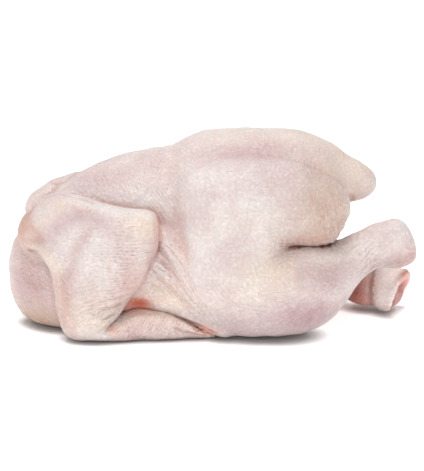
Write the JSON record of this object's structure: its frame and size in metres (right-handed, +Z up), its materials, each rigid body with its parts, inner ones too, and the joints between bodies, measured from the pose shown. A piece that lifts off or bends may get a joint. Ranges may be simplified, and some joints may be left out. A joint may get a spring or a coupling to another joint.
{
  "type": "whole raw chicken",
  "caption": "Whole raw dressed chicken lying on its breast, back up, wings folded to its sides and legs drawn back beside the tail.",
  "frame": {"origin": "centre of the bird's footprint box, on the surface it lies on", "axes": "+X from the neck to the tail, +Y from the bird's left side to its right side, +Z up through its back"},
  "size_m": [0.2916, 0.1496, 0.138],
  "materials": {
    "raw_skin": "moist, satin, slightly translucent"
  },
  "bodies": {
    "root": {"chicken": "raw_skin"}
  },
  "joints": []
}
